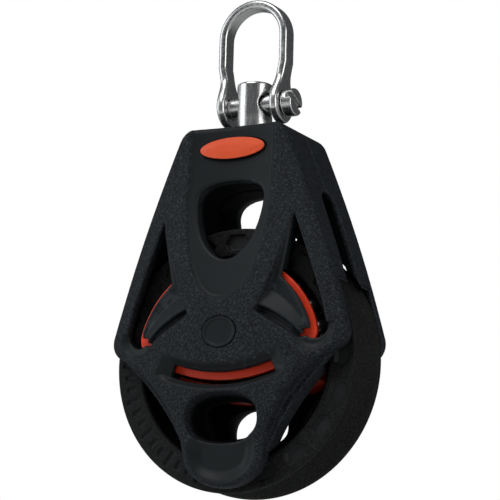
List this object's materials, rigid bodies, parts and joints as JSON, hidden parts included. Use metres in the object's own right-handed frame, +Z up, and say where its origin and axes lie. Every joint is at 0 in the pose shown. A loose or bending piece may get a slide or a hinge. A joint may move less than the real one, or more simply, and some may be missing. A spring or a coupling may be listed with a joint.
{
  "type": "single sheave block",
  "caption": "Single sheave ball bearing block with a swivel post and shackle, two moulded cheeks, a grooved sheave and a D-shaped ball race.",
  "frame": {"origin": "inside top of the shackle's loop, where the block hangs", "axes": "+Z up along the load line, +Y along the sheave's axle line away from the front cheek, +X across the block towards the shackle pin's head"},
  "size_m": [0.04, 0.0196, 0.077],
  "materials": {
    "black_nylon": "grainy moulded black nylon with glass fibre, satin in the smooth recesses",
    "sheave_nylon": "fine grained dark warm grey nylon",
    "red_acetal": "smooth red-orange acetal",
    "grey_ball": "glossy dark grey acetal balls",
    "badge_red": "plain red-orange enamel oval with a slightly darker edge",
    "stainless": "polished and lightly brushed stainless steel"
  },
  "bodies": {
    "shackle": {"shackle_bow": "stainless", "shackle_pin": "stainless"},
    "swivel_post": {"swivel_post": "stainless", "thrust_washer": "stainless", "post_nut": "stainless"},
    "block": {"ball_guide": "red_acetal", "front_badge": "badge_red", "front_ball_01": "grey_ball", "front_ball_02": "grey_ball", "front_ball_03": "grey_ball", "front_ball_04": "grey_ball", "front_ball_05": "grey_ball", "front_ball_06": "grey_ball", "front_ball_07": "grey_ball", "front_ball_08": "grey_ball", "front_ball_09": "grey_ball", "front_ball_10": "grey_ball", "front_ball_11": "grey_ball", "front_ball_12": "grey_ball", "front_ball_13": "grey_ball", "front_ball_14": "grey_ball", "front_ball_15": "grey_ball", "front_ball_16": "grey_ball", "front_ball_17": "grey_ball", "front_ball_18": "grey_ball", "front_ball_19": "grey_ball", "front_cheek": "black_nylon", "front_hub_disc": "black_nylon", "front_race_flange": "red_acetal", "head_screw_left": "stainless", "head_screw_right": "stainless", "hub_screw": "stainless", "race_core": "red_acetal", "rear_badge": "badge_red", "rear_ball_01": "grey_ball", "rear_ball_02": "grey_ball", "rear_ball_03": "grey_ball", "rear_ball_04": "grey_ball", "rear_ball_05": "grey_ball", "rear_ball_06": "grey_ball", "rear_ball_07": "grey_ball", "rear_ball_08": "grey_ball", "rear_ball_09": "grey_ball", "rear_ball_10": "grey_ball", "rear_ball_11": "grey_ball", "rear_ball_12": "grey_ball", "rear_ball_13": "grey_ball", "rear_ball_14": "grey_ball", "rear_ball_15": "grey_ball", "rear_ball_16": "grey_ball", "rear_ball_17": "grey_ball", "rear_ball_18": "grey_ball", "rear_ball_19": "grey_ball", "rear_cheek": "black_nylon", "rear_hub_disc": "black_nylon", "rear_race_flange": "red_acetal"},
    "sheave": {"sheave": "sheave_nylon"}
  },
  "joints": [
    {"name": "shackle_pivot", "type": "hinge", "parent": "shackle", "child": "swivel_post", "pos_m": [0, 0, -0.0154], "axis": [1, 0, 0], "range_deg": [-100, 100]},
    {"name": "swivel", "type": "hinge", "parent": "swivel_post", "child": "block", "pos_m": [0, 0, -0.0196], "axis": [0, 0, 1], "continuous": true},
    {"name": "sheave_spin", "type": "hinge", "parent": "block", "child": "sheave", "pos_m": [0, 0, -0.0556], "axis": [0, 1, 0], "continuous": true}
  ]
}
